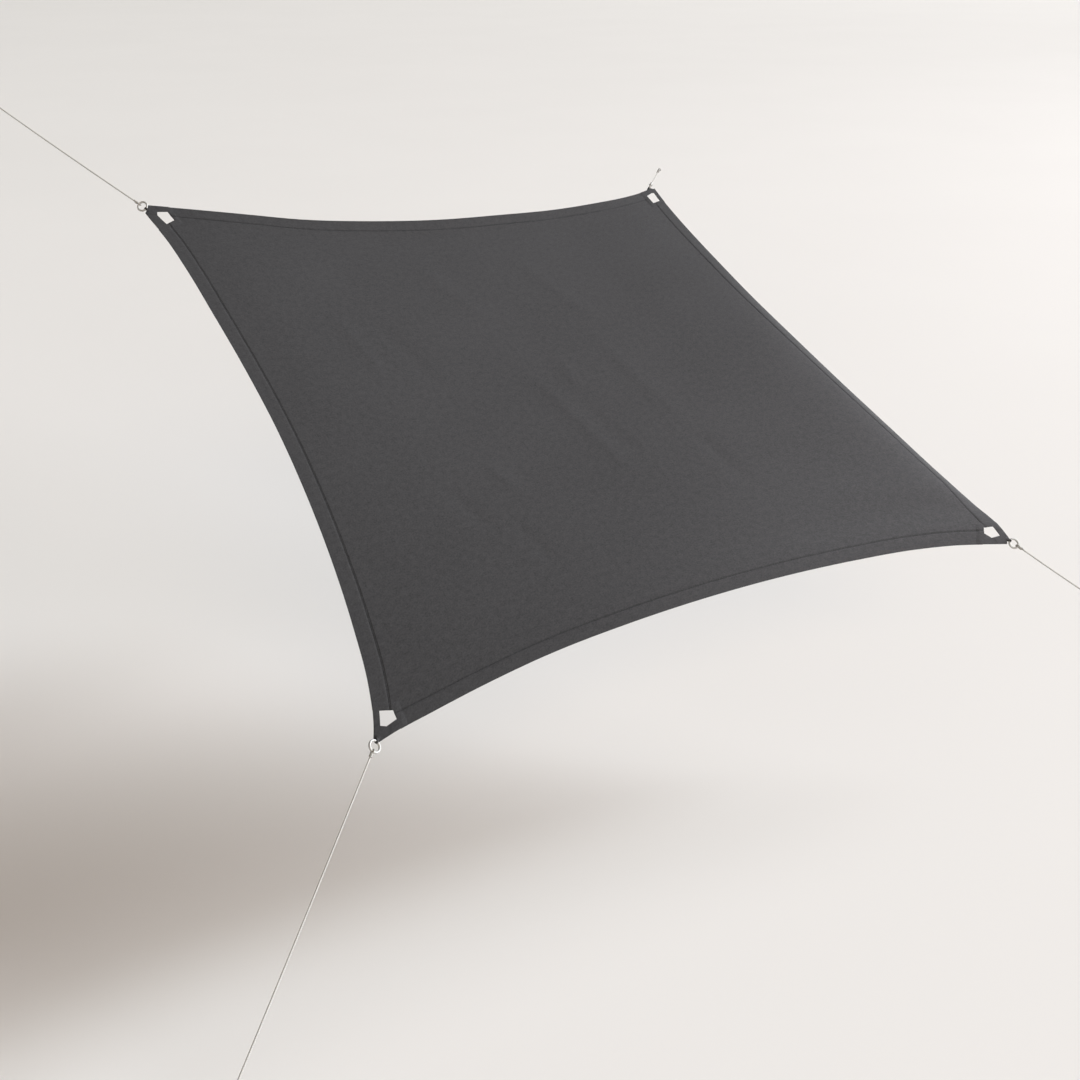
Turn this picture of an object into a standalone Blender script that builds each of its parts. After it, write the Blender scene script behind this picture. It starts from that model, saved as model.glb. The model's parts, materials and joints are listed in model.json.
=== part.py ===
"""Square shade sail stretched between four cords.

The sail is one hemmed sheet of outdoor cloth. Each corner is a piece of flat webbing
with an open kite-shaped window, a folded loop and a steel ring. A cord is knotted round
each ring and round a small steel wall eye at its other end.

Units are metres and +Z is up. The origin is the middle of the back face of the wall eye
that holds the upper right corner. +X runs along the level lower edge of the sail, and +Y
runs horizontally from the lower edge towards the upper one.
"""

from math import cos, pi, radians, sin

import bmesh
import bpy
from mathutils import Matrix, Vector

# Cloth
SIDE_X = 3.02                # nominal width, left edge to right edge
SIDE_Y = 3.07                # nominal length, upper edge to lower edge
CLOTH = 0.0014               # one layer of cloth
HEM_CLOTH = 0.0026           # the turned hem, folded under
HEM_WIDTH = 0.072
CENTRE_SAG = 0.050           # how far the middle hangs below its taut surface
UPPER_CUP = 0.028            # dip just inside the taut upper hem
UPPER_CUP_START = 0.12
UPPER_CUP_REACH = 0.90
RIGHT_ROLL = 0.045           # the right edge rolls down from a low crest inside it
RIGHT_ROLL_START = 0.050
RIGHT_ROLL_REACH = 0.70
RIGHT_ROLL_QUIET = 0.10      # no roll within this distance of the lower right corner
RIGHT_ROLL_GROWTH = 0.30

# Lines of the cloth's grid, as distances in from an edge. The pair at the hem makes its step.
GRID_IN = (0.0, 0.018, 0.036, 0.054, HEM_WIDTH - 0.001, HEM_WIDTH + 0.001, 0.10, 0.135, 0.18,
           0.24, 0.32, 0.44, 0.60, 0.80, 1.02, 1.27)

# Webbing corners
WEBBING = 0.0020
WEBBING_LIFT = 0.0004        # gap between the cloth's upper face and the webbing
WEBBING_LAP = 0.034          # webbing sewn on the cloth beyond the window
WEBBING_GRID = 0.022
CLOTH_SETBACK = 0.005        # the cloth stops this far outside the window
TONGUE_WIDTH = 0.015
TONGUE_LENGTH = 0.026
FOLD_RADIUS = 0.0078         # the webbing folded round the ring
FOLD_LENGTH = 0.016

# Rings
RING_RADIUS = 0.0215         # to the middle of the wire
RING_WIRE = 0.009
RING_PLAY = 0.0006

# Cords
CORD = 0.0065
CORD_SAG = 0.004             # at mid span, for each metre of cord
CORD_STEP = 0.0195           # three diameters
PIECE_GAP = 0.0003

# Wall eyes
EYE_RADIUS = 0.0068          # to the middle of the wire
EYE_WIRE = 0.0042
STEM_RADIUS = 0.0028
FLANGE_RADIUS = 0.0085
FLANGE_DEPTH = 0.0025
FLANGE_BACK = 0.017          # from the eye's middle to the flange's back face

# Knots: a bight that lies close round a wire, and a body of three turns
BIGHT_PLAY = 0.0005
RING_BIGHT = RING_WIRE / 2 + BIGHT_PLAY + CORD / 2
EYE_BIGHT = EYE_WIRE / 2 + BIGHT_PLAY + CORD / 2
BODY_OVERLAP = 0.001         # the body starts this far inside the middle of the bight
TURN_RADIUS = 0.0070
TURN_WAIST = 0.0058
TURN_PITCH = 0.0060
TURNS = 3

# Points where neighbouring edges of the sail would meet
CORNERS = {
    "upper_left": Vector((-3.129, -0.243, 0.151)),
    "upper_right": Vector((-0.167, -0.176, -0.059)),
    "lower_right": Vector((-0.186, -3.021, -1.174)),
    "lower_left": Vector((-3.299, -3.021, -1.174)),
}

# Edges. bow is how far the cut edge curves in from its chord, and rise is how far it stands
# above the chord, both at the STATIONS between the ends.
STATIONS = (0.03, 0.08, 0.16, 0.25, 0.375, 0.50, 0.625, 0.75, 0.84, 0.92, 0.97)
EDGES = {
    "upper": {
        "ends": ("upper_left", "upper_right"),
        "bow": (0.019, 0.052, 0.095, 0.139, 0.169, 0.179, 0.164, 0.147, 0.121, 0.083, 0.038),
        "rise": (0.0, 0.0, -0.008, -0.020, -0.028, -0.030, -0.028, -0.020, -0.008, 0.0, 0.0)},
    "right": {
        "ends": ("upper_right", "lower_right"),
        "bow": (0.014, 0.035, 0.064, 0.090, 0.112, 0.120, 0.112, 0.090, 0.064, 0.035, 0.014),
        "rise": (-0.001, 0.002, 0.011, 0.023, 0.034, 0.046, 0.049, 0.047, 0.038, 0.032, 0.028)},
    "lower": {
        "ends": ("lower_left", "lower_right"),
        "bow": (0.028, 0.061, 0.110, 0.153, 0.184, 0.195, 0.187, 0.158, 0.124, 0.073, 0.028),
        "rise": (0.0, 0.0, -0.002, -0.004, -0.005, -0.005, -0.005, -0.004, -0.002, 0.0, 0.0)},
    "left": {
        "ends": ("upper_left", "lower_left"),
        "bow": (0.018, 0.053, 0.089, 0.117, 0.149, 0.167, 0.164, 0.142, 0.112, 0.075, 0.036),
        "rise": (0.0, 0.0, -0.003, -0.008, -0.010, -0.010, -0.010, -0.008, -0.003, 0.0, 0.0)},
}

# Corner pieces. Their outlines are in the corner's own plan: the first number is the distance
# from the left or right edge, the second the distance from the upper or lower edge.
# blunt: where the cut across the tip meets the two edges
# window: the opening, from the side edge's far point round the far side to the tip
# ring: the ring's middle; turn: how far the ring is turned about its cord, in degrees
# eye: the middle of the wall eye
FITTINGS = {
    "upper_left": {
        "blunt": ((0.0, 0.066), (0.038, 0.0)),
        "window": ((0.059, 0.144), (0.113, 0.106), (0.111, 0.039), (0.061, 0.048), (0.049, 0.077)),
        "ring": (0.011, 0.013), "turn": -40.0, "eye": Vector((-3.592, 0.584, 0.579))},
    "upper_right": {
        "blunt": ((0.0, 0.016), (0.026, 0.0)),
        "window": ((0.029, 0.131), (0.087, 0.126), (0.096, 0.046), (0.045, 0.039), (0.028, 0.047)),
        "ring": (0.026, -0.017), "turn": -84.0, "eye": Vector((-0.0126, -0.0114, 0.0))},
    "lower_right": {
        "blunt": ((0.0, 0.026), (0.027, 0.0)),
        "window": ((0.033, 0.092), (0.082, 0.087), (0.102, 0.055), (0.082, 0.031), (0.034, 0.042)),
        "ring": (-0.007, 0.002), "turn": 5.0, "eye": Vector((0.046, -3.285, -1.374))},
    "lower_left": {
        "blunt": ((0.0, 0.026), (0.024, 0.0)),
        "window": ((0.027, 0.121), (0.084, 0.090), (0.098, 0.046), (0.055, 0.042), (0.028, 0.060)),
        "ring": (0.007, -0.005), "turn": -33.0, "eye": Vector((-4.150, -3.877, -1.562))},
}

# Finishes: base colour, roughness, metallic
CHARCOAL = ((0.060, 0.060, 0.063), 0.90, 0.0)
DARK_WEBBING = ((0.050, 0.050, 0.053), 0.85, 0.0)
STEEL = ((0.62, 0.62, 0.61), 0.22, 1.0)
PALE_CORD = ((0.60, 0.59, 0.56), 0.70, 0.0)


# ---------------------------------------------------------------- scene and small helpers

def clear_scene():
    for item in list(bpy.data.objects):
        bpy.data.objects.remove(item, do_unlink=True)


def new_collection(name):
    group = bpy.data.collections.new(name)
    bpy.context.scene.collection.children.link(group)
    return group


def material(name, finish):
    colour, roughness, metallic = finish
    made = bpy.data.materials.new(name)
    made.use_nodes = True
    shader = made.node_tree.nodes["Principled BSDF"]
    shader.inputs["Base Color"].default_value = (*colour, 1.0)
    shader.inputs["Roughness"].default_value = roughness
    shader.inputs["Metallic"].default_value = metallic
    return made


def place(item, group, name, finish=None):
    """Name an object, move it to a collection and give it its finish."""
    item.name = name
    for old in list(item.users_collection):
        old.objects.unlink(item)
    group.objects.link(item)
    if finish:
        item.data.materials.append(material(name, finish))
    else:
        item.hide_render = True
        item.display_type = "WIRE"
    return item


def aim(item, origin, z_axis, x_hint):
    """Put an object at origin with its Z along z_axis and its X nearest to x_hint."""
    z = z_axis.normalized()
    x = (x_hint - z * x_hint.dot(z)).normalized()
    axes = Matrix((x, z.cross(x), z)).transposed().to_4x4()
    item.matrix_world = Matrix.Translation(origin) @ axes
    return item


def smooth(item, angle=40.0):
    item.data.shade_smooth()
    item.data.set_sharp_from_angle(angle=radians(angle))


def boolean(item, operand, operation):
    cut = item.modifiers.new(operation.lower(), "BOOLEAN")
    cut.operation = operation
    cut.solver = "EXACT"
    cut.object = operand


def through(values, x):
    """A smooth curve through values at the stations, and through nothing at both ends."""
    stations = (0.0, *STATIONS, 1.0)
    values = (0.0, *values, 0.0)
    last = len(stations) - 1
    gaps = [stations[i + 1] - stations[i] for i in range(last)]
    slopes = [(values[i + 1] - values[i]) / gaps[i] for i in range(last)]
    tangents = [0.0] * (last + 1)
    for i in range(1, last):
        tangents[i] = (slopes[i - 1] * gaps[i] + slopes[i] * gaps[i - 1]) / (gaps[i - 1] + gaps[i])
    tangents[0] = 2 * slopes[0] - tangents[1]
    tangents[last] = 2 * slopes[last - 1] - tangents[last - 1]
    i = max(k for k in range(last) if x >= stations[k] or k == 0)
    u = (x - stations[i]) / gaps[i]
    return (values[i] * (1 + 2 * u) * (1 - u) ** 2 + tangents[i] * gaps[i] * u * (1 - u) ** 2
            + values[i + 1] * u * u * (3 - 2 * u) + tangents[i + 1] * gaps[i] * u * u * (u - 1))


# ---------------------------------------------------------------- the sail's surface

MIDDLE = sum(CORNERS.values(), Vector()) / 4
ACROSS = CORNERS["lower_right"] - CORNERS["upper_left"]
UP_LEFT_TO_RIGHT = CORNERS["upper_right"] - CORNERS["lower_left"]
FACE = ACROSS.cross(UP_LEFT_TO_RIGHT).normalized()


def edge_point(name, x):
    """A point of one edge, x from 0 to 1 along it."""
    edge = EDGES[name]
    start, end = (CORNERS[corner] for corner in edge["ends"])
    chord = (end - start).normalized()
    inward = FACE.cross(chord).normalized()
    if inward.dot(MIDDLE - (start + end) / 2) < 0:
        inward.negate()
    up = chord.cross(inward)
    if up.dot(FACE) < 0:
        up.negate()
    bow = through(edge["bow"], x)
    rise = through(edge["rise"], x)
    return start.lerp(end, x) + inward * bow + up * rise


def ease(x):
    x = min(max(x, 0.0), 1.0)
    return x * x * (3 - 2 * x)


def billow(s, t):
    """Height of the cloth over the surface stretched between its four edges."""
    sag = -CENTRE_SAG * sin(pi * s) * sin(pi * t)
    from_upper = t * SIDE_Y
    cup = -UPPER_CUP * sin(pi * s) * fade(from_upper, UPPER_CUP_START, UPPER_CUP_REACH)
    from_right = (1 - s) * SIDE_X
    from_lower = (1 - t) * SIDE_Y
    strength = ease(t / 0.8) * ease((from_lower - RIGHT_ROLL_QUIET) / RIGHT_ROLL_GROWTH)
    roll = RIGHT_ROLL * strength * fade(from_right, RIGHT_ROLL_START, RIGHT_ROLL_REACH)
    return sag + cup + roll


def fade(distance, start, reach):
    """Nothing at the edge, full just inside it, and fading out over the reach."""
    distance = max(distance, 0.0)
    return (1 - 2.718 ** (-distance / start)) * 2.718 ** (-distance / reach)


def sail_point(s, t):
    """A point of the cloth's upper face: s from left to right, t from upper to lower edge."""
    upper = edge_point("upper", s)
    lower = edge_point("lower", s)
    left = edge_point("left", t)
    right = edge_point("right", t)
    flat = (CORNERS["upper_left"].lerp(CORNERS["upper_right"], s)
            .lerp(CORNERS["lower_left"].lerp(CORNERS["lower_right"], s), t))
    return upper.lerp(lower, t) + left.lerp(right, s) - flat + FACE * billow(s, t)


def sail_normal(s, t):
    step = 0.004
    along = sail_point(s + step, t) - sail_point(s - step, t)
    down = sail_point(s, t + step) - sail_point(s, t - step)
    return down.cross(along).normalized()


def fractions(corner, from_side, from_end):
    """Turn a corner's plan distances into the sail's s and t."""
    s = from_side / SIDE_X
    t = from_end / SIDE_Y
    return (s if corner.endswith("left") else 1 - s, t if corner.startswith("upper") else 1 - t)


def corner_frame(corner):
    """The flat frame at a tip: along the upper or lower edge, along the side edge, and up."""
    reach = 0.02
    s, t = fractions(corner, 0.0, 0.0)
    tip = sail_point(s, t)
    inner_s, inner_t = fractions(corner, reach * SIDE_X, reach * SIDE_Y)
    along_end = (sail_point(inner_s, t) - tip).normalized()
    along_side = (sail_point(s, inner_t) - tip).normalized()
    up = along_end.cross(along_side).normalized()
    if up.z < 0:
        up.negate()
    return tip, along_end, along_side, up


def ring_frame(corner):
    """The ring's middle, the pull of its cord, and the ring's own normal."""
    fitting = FITTINGS[corner]
    tip, along_end, along_side, up = corner_frame(corner)
    lift = WEBBING_LIFT + WEBBING / 2
    middle = tip + along_end * fitting["ring"][0] + along_side * fitting["ring"][1] + up * lift
    pull = (fitting["eye"] - middle).normalized()
    normal = (up - pull * up.dot(pull)).normalized()
    normal.rotate(Matrix.Rotation(radians(fitting["turn"]), 3, pull))
    return middle, pull, normal


# ---------------------------------------------------------------- cloth

def split_along(bm, faces, start, end):
    """Cut faces of a flat mesh along the endless line through start and end."""
    direction = (end - start).normalized()
    across = Vector((-direction.y, direction.x, 0.0))
    touched = {edge for face in faces for edge in face.edges}
    points = {vert for face in faces for vert in face.verts}
    bmesh.ops.bisect_plane(bm, geom=list(faces) + list(touched) + list(points),
                           plane_co=start, plane_no=across, dist=0.0002)


def side_of(point, start, end):
    """Positive on the left of the line from start to end."""
    return (end - start).cross(point - start).z


def window_points(corner, setback=0.0):
    """The window's outline, its two far sides moved out by setback."""
    points = [Vector((*point, 0.0)) for point in FITTINGS[corner]["window"]]
    side_far, inner, end_far = points[:3]
    middle = sum(points, Vector()) / len(points)
    moved = []
    for start, end in ((side_far, inner), (inner, end_far)):
        out = Vector((-(end - start).y, (end - start).x, 0.0)).normalized()
        if out.dot(start - middle) < 0:
            out.negate()
        moved.append((start + out * setback, end + out * setback))
    return points, moved


def grid_lines(length):
    near = [distance / length for distance in GRID_IN]
    return near + [0.5] + [1 - x for x in reversed(near)]


def build_cloth(group):
    across = grid_lines(SIDE_X)
    down = grid_lines(SIDE_Y)
    bm = bmesh.new()
    bmesh.ops.create_grid(bm, x_segments=len(across) - 1, y_segments=len(down) - 1, size=0.5)
    for vert in bm.verts:
        column = round((vert.co.x + 0.5) * (len(across) - 1))
        row = round((vert.co.y + 0.5) * (len(down) - 1))
        vert.co = Vector((across[column] * SIDE_X, down[row] * SIDE_Y, 0.0))
    for corner in FITTINGS:
        trim_cloth_corner(bm, corner)
    bmesh.ops.remove_doubles(bm, verts=bm.verts, dist=0.0005)
    mesh = bpy.data.meshes.new("sail_cloth")
    weights = []
    for vert in bm.verts:
        x, y = vert.co.x, vert.co.y
        from_edge = min(x, y, SIDE_X - x, SIDE_Y - y)
        weights.append(1.0 if from_edge < HEM_WIDTH else CLOTH / HEM_CLOTH)
        vert.co = sail_point(x / SIDE_X, y / SIDE_Y)
    bmesh.ops.recalc_face_normals(bm, faces=bm.faces)
    if sum(face.normal.z for face in bm.faces) < 0:
        bmesh.ops.reverse_faces(bm, faces=bm.faces)
    bm.to_mesh(mesh)
    bm.free()
    item = bpy.data.objects.new("sail_cloth", mesh)
    layers = item.vertex_groups.new(name="layers")
    for index, weight in enumerate(weights):
        layers.add([index], weight, "REPLACE")
    shell = item.modifiers.new("cloth", "SOLIDIFY")
    shell.thickness = HEM_CLOTH
    shell.offset = -1.0
    shell.vertex_group = "layers"
    shell.thickness_vertex_group = 0.0
    place(item, group, "sail_cloth", CHARCOAL)
    smooth(item)


def plan_to_sheet(corner, point):
    """A corner's plan distances as a place on the flat sheet."""
    x = point.x if corner.endswith("left") else SIDE_X - point.x
    y = point.y if corner.startswith("upper") else SIDE_Y - point.y
    return Vector((x, y, 0.0))


def trim_cloth_corner(bm, corner):
    """Cut the cloth off beyond the two far sides of the window."""
    zone = 0.30
    tip = plan_to_sheet(corner, Vector())
    sides = [(plan_to_sheet(corner, a), plan_to_sheet(corner, b))
             for a, b in window_points(corner, CLOTH_SETBACK)[1]]
    for start, end in sides:
        near = [face for face in bm.faces if (face.calc_center_median() - tip).length < zone]
        split_along(bm, near, start, end)
    doomed = []
    for face in bm.faces:
        middle = face.calc_center_median()
        if (middle - tip).length > zone:
            continue
        if all(side_of(middle, a, b) * side_of(tip, a, b) > 0 for a, b in sides):
            doomed.append(face)
    bmesh.ops.delete(bm, geom=doomed, context="FACES")


# ---------------------------------------------------------------- webbing corners

def flat_webbing(corner):
    """The corner's flat pattern, with its window, as an open flat mesh."""
    window, laps = window_points(corner, WEBBING_LAP)
    blunt = [Vector((*point, 0.0)) for point in FITTINGS[corner]["blunt"]]
    reach = 0.24
    steps = round(reach / WEBBING_GRID)
    bm = bmesh.new()
    bmesh.ops.create_grid(bm, x_segments=steps, y_segments=steps, size=reach / 2)
    bmesh.ops.translate(bm, verts=bm.verts, vec=(reach / 2, reach / 2, 0.0))
    inside = window[1]
    for start, end in (*laps, tuple(blunt)):
        split_along(bm, list(bm.faces), start, end)
        outside = [face for face in bm.faces
                   if side_of(face.calc_center_median(), start, end) * side_of(inside, start, end) < 0]
        bmesh.ops.delete(bm, geom=outside, context="FACES")
    middle = sum(window, Vector()) / len(window)
    sides = list(zip(window, window[1:] + window[:1]))
    for start, end in sides:
        near = [face for face in bm.faces if (face.calc_center_median() - middle).length < 0.085]
        split_along(bm, near, start, end)
    opened = [face for face in bm.faces
              if all(side_of(face.calc_center_median(), a, b) * side_of(middle, a, b) > 0
                     for a, b in sides)]
    bmesh.ops.delete(bm, geom=opened, context="FACES")
    bmesh.ops.remove_doubles(bm, verts=bm.verts, dist=0.0006)
    return bm


def build_corner(corner, group, cutters):
    name = "corner_" + corner
    bm = flat_webbing(corner)
    for vert in bm.verts:
        s, t = fractions(corner, vert.co.x, vert.co.y)
        vert.co = sail_point(s, t) + sail_normal(s, t) * WEBBING_LIFT
    bmesh.ops.recalc_face_normals(bm, faces=bm.faces)
    if sum(face.normal.z for face in bm.faces) < 0:
        bmesh.ops.reverse_faces(bm, faces=bm.faces)
    mesh = bpy.data.meshes.new(name)
    bm.to_mesh(mesh)
    bm.free()
    item = bpy.data.objects.new(name, mesh)
    shell = item.modifiers.new("webbing", "SOLIDIFY")
    shell.thickness = WEBBING
    shell.offset = 1.0
    place(item, group, name, DARK_WEBBING)

    middle, pull, normal = ring_frame(corner)
    up = corner_frame(corner)[3]
    fold_at = middle - pull * RING_RADIUS
    bpy.ops.mesh.primitive_cube_add(size=1.0)
    tongue = place(bpy.context.object, cutters, "tongue_" + corner)
    tongue.data.transform(Matrix.Diagonal((TONGUE_LENGTH, TONGUE_WIDTH, WEBBING * 0.9, 1.0)))
    aim(tongue, fold_at - pull * TONGUE_LENGTH / 2, up, pull)
    boolean(item, tongue, "UNION")

    bpy.ops.mesh.primitive_cylinder_add(vertices=12, radius=FOLD_RADIUS, depth=FOLD_LENGTH)
    fold = place(bpy.context.object, cutters, "fold_" + corner)
    aim(fold, fold_at, normal.cross(pull), normal)
    boolean(item, fold, "UNION")

    bore = place(ring_torus(RING_WIRE / 2 + RING_PLAY), cutters, "bore_" + corner)
    aim(bore, middle, normal, pull)
    boolean(item, bore, "DIFFERENCE")


# ---------------------------------------------------------------- rings, knots, cords, eyes

def ring_torus(wire_radius):
    bpy.ops.mesh.primitive_torus_add(major_radius=RING_RADIUS, minor_radius=wire_radius,
                                     major_segments=24, minor_segments=8)
    return bpy.context.object


def build_ring(corner, group):
    middle, pull, normal = ring_frame(corner)
    item = place(ring_torus(RING_WIRE / 2), group, "ring_" + corner, STEEL)
    aim(item, middle, normal, pull)
    smooth(item)


def knot_profile():
    """Half outline of three turns of cord, from the top down its outer side."""
    top = TURNS * TURN_PITCH
    points = [(0.0, top), (TURN_WAIST - 0.0015, top)]
    for turn in reversed(range(TURNS)):
        base = turn * TURN_PITCH
        points.append((TURN_RADIUS, base + TURN_PITCH * 0.75))
        points.append((TURN_RADIUS, base + TURN_PITCH * 0.25))
        points.append((TURN_WAIST if turn else TURN_WAIST - 0.0015, base))
    points.append((0.0, 0.0))
    return points


def build_knot(name, wire_middle, wire_axis, pull, bight_radius, group, cutters):
    """A bight round a wire, and a body of turns that stands away from it along pull."""
    mesh = bpy.data.meshes.new(name)
    profile = [Vector((radius, 0.0, height)) for radius, height in knot_profile()]
    edges = [(i, i + 1) for i in range(len(profile) - 1)]
    mesh.from_pydata(profile, edges, [])
    item = bpy.data.objects.new(name, mesh)
    turned = item.modifiers.new("turned", "SCREW")
    turned.steps = 10
    turned.render_steps = 10
    turned.use_merge_vertices = True
    turned.merge_threshold = 0.0001
    place(item, group, name, PALE_CORD)
    aim(item, wire_middle + pull * (bight_radius - BODY_OVERLAP), pull, wire_axis)

    bpy.ops.mesh.primitive_torus_add(major_radius=bight_radius, minor_radius=CORD / 2,
                                     major_segments=14, minor_segments=6)
    bight = place(bpy.context.object, cutters, "bight_" + name)
    aim(bight, wire_middle, wire_axis, pull)
    boolean(item, bight, "UNION")


def cord_ends(corner):
    """Where the cord leaves the knot at the ring and the knot at the eye."""
    middle, pull, _ = ring_frame(corner)
    eye = FITTINGS[corner]["eye"]
    body = TURNS * TURN_PITCH - BODY_OVERLAP + PIECE_GAP
    return (middle + pull * (RING_RADIUS + RING_BIGHT + body),
            eye - pull * (EYE_RADIUS + EYE_BIGHT + body))


def build_cord(corner, group):
    """A taut cord: one smooth curve with a slight sag between its two knots."""
    start, end = cord_ends(corner)
    length = (end - start).length
    steps = round(length / CORD_STEP)
    sag = CORD_SAG * length
    curve = bpy.data.curves.new("cord_" + corner, "CURVE")
    curve.dimensions = "3D"
    curve.bevel_depth = CORD / 2
    curve.bevel_resolution = 2
    curve.use_fill_caps = True
    line = curve.splines.new("POLY")
    line.points.add(steps)
    for i, point in enumerate(line.points):
        x = i / steps
        place_at = start.lerp(end, x) - Vector((0.0, 0.0, 4 * sag * x * (1 - x)))
        point.co = (*place_at, 1.0)
    item = bpy.data.objects.new("cord_" + corner, curve)
    place(item, group, "cord_" + corner, PALE_CORD)


def eye_frame(corner):
    """The wall eye's middle, its heading into the wall, and its plane's normal."""
    pull = ring_frame(corner)[1]
    heading = Vector((pull.x, pull.y, 0.0)).normalized()
    return FITTINGS[corner]["eye"], heading, heading.cross(Vector((0.0, 0.0, 1.0)))


def build_eye(corner, group, cutters):
    """A steel eye on a short stem, with a round flange that has a flat back."""
    name = "wall_eye_" + corner
    middle, heading, normal = eye_frame(corner)
    bpy.ops.mesh.primitive_torus_add(major_radius=EYE_RADIUS, minor_radius=EYE_WIRE / 2,
                                     major_segments=20, minor_segments=8)
    item = place(bpy.context.object, group, name, STEEL)
    aim(item, middle, normal, heading)
    smooth(item)
    for label, radius, start in (("stem", STEM_RADIUS, EYE_RADIUS),
                                 ("flange", FLANGE_RADIUS, FLANGE_BACK - FLANGE_DEPTH)):
        end = FLANGE_BACK - 0.0005 if label == "stem" else FLANGE_BACK
        sides = 8 if label == "stem" else 20
        bpy.ops.mesh.primitive_cylinder_add(vertices=sides, radius=radius, depth=end - start)
        piece = place(bpy.context.object, cutters, label + "_" + corner)
        aim(piece, middle + heading * (start + end) / 2, heading, normal)
        boolean(item, piece, "UNION")


def build_knots(corner, group, cutters):
    middle, pull, normal = ring_frame(corner)
    build_knot("knot_ring_" + corner, middle + pull * RING_RADIUS, normal.cross(pull), pull,
               RING_BIGHT, group, cutters)
    eye, _, eye_normal = eye_frame(corner)
    build_knot("knot_eye_" + corner, eye - pull * EYE_RADIUS, eye_normal.cross(pull), -pull,
               EYE_BIGHT, group, cutters)


def main():
    clear_scene()
    group = new_collection("shade_sail")
    cutters = new_collection("shade_sail_cutters")
    build_cloth(group)
    for corner in FITTINGS:
        build_corner(corner, group, cutters)
        build_ring(corner, group)
        build_knots(corner, group, cutters)
        build_cord(corner, group)
        build_eye(corner, group, cutters)


main()
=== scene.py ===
"""Looks for a stretched shade sail: woven cloth with a stitched hem, webbing corners with
steel rings, twisted cords with their knots, and wall eyes, over a pale studio floor."""

import json
from math import cos, pi, radians, sin, tau

import bmesh
import bpy
import numpy as np
from mathutils import Matrix, Vector

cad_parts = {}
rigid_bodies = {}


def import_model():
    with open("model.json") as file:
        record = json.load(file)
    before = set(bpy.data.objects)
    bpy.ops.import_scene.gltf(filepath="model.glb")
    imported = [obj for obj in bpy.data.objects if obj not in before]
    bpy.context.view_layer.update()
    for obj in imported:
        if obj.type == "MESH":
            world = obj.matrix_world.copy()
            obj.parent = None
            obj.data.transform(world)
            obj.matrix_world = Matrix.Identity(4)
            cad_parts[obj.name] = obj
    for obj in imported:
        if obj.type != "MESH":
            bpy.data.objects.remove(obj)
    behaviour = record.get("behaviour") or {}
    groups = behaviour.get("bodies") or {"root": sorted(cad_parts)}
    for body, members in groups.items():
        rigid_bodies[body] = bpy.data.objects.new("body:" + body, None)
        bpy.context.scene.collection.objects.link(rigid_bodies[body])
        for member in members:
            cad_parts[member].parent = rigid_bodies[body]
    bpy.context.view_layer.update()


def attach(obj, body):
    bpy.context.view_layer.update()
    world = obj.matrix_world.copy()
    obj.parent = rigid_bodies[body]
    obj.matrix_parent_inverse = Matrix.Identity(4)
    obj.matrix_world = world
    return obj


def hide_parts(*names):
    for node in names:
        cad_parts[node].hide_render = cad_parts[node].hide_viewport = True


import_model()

# ---- sizes, as in the CAD source

SIDE_X = 3.02
SIDE_Y = 3.07
CLOTH = 0.0014
HEM_CLOTH = 0.0026
CENTRE_SAG = 0.050
UPPER_CUP = 0.028
UPPER_CUP_START = 0.12
UPPER_CUP_REACH = 0.90
RIGHT_ROLL = 0.045
RIGHT_ROLL_START = 0.050
RIGHT_ROLL_REACH = 0.70
RIGHT_ROLL_QUIET = 0.10
RIGHT_ROLL_GROWTH = 0.30
RIGHT_ROLL_FULL = 0.8
EULER = 2.718  # base of the curves that die away

WEBBING = 0.0020
WEBBING_LIFT = 0.0004
WEBBING_LAP = 0.034
CLOTH_SETBACK = 0.005
TONGUE_WIDTH = 0.015

RING_RADIUS = 0.0215
RING_WIRE = 0.009
RING_PLAY = 0.0006

CORD = 0.0065
CORD_SAG = 0.004
CORD_STEP = 0.0195
PIECE_GAP = 0.0003

EYE_RADIUS = 0.0068
EYE_WIRE = 0.0042
STEM_RADIUS = 0.0028
FLANGE_RADIUS = 0.0085
FLANGE_DEPTH = 0.0025
FLANGE_BACK = 0.017

BIGHT_PLAY = 0.0005
RING_BIGHT = RING_WIRE / 2 + BIGHT_PLAY + CORD / 2
EYE_BIGHT = EYE_WIRE / 2 + BIGHT_PLAY + CORD / 2
BODY_OVERLAP = 0.001
TURN_RADIUS = 0.0070
TURN_PITCH = 0.0060
TURNS = 3

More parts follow.
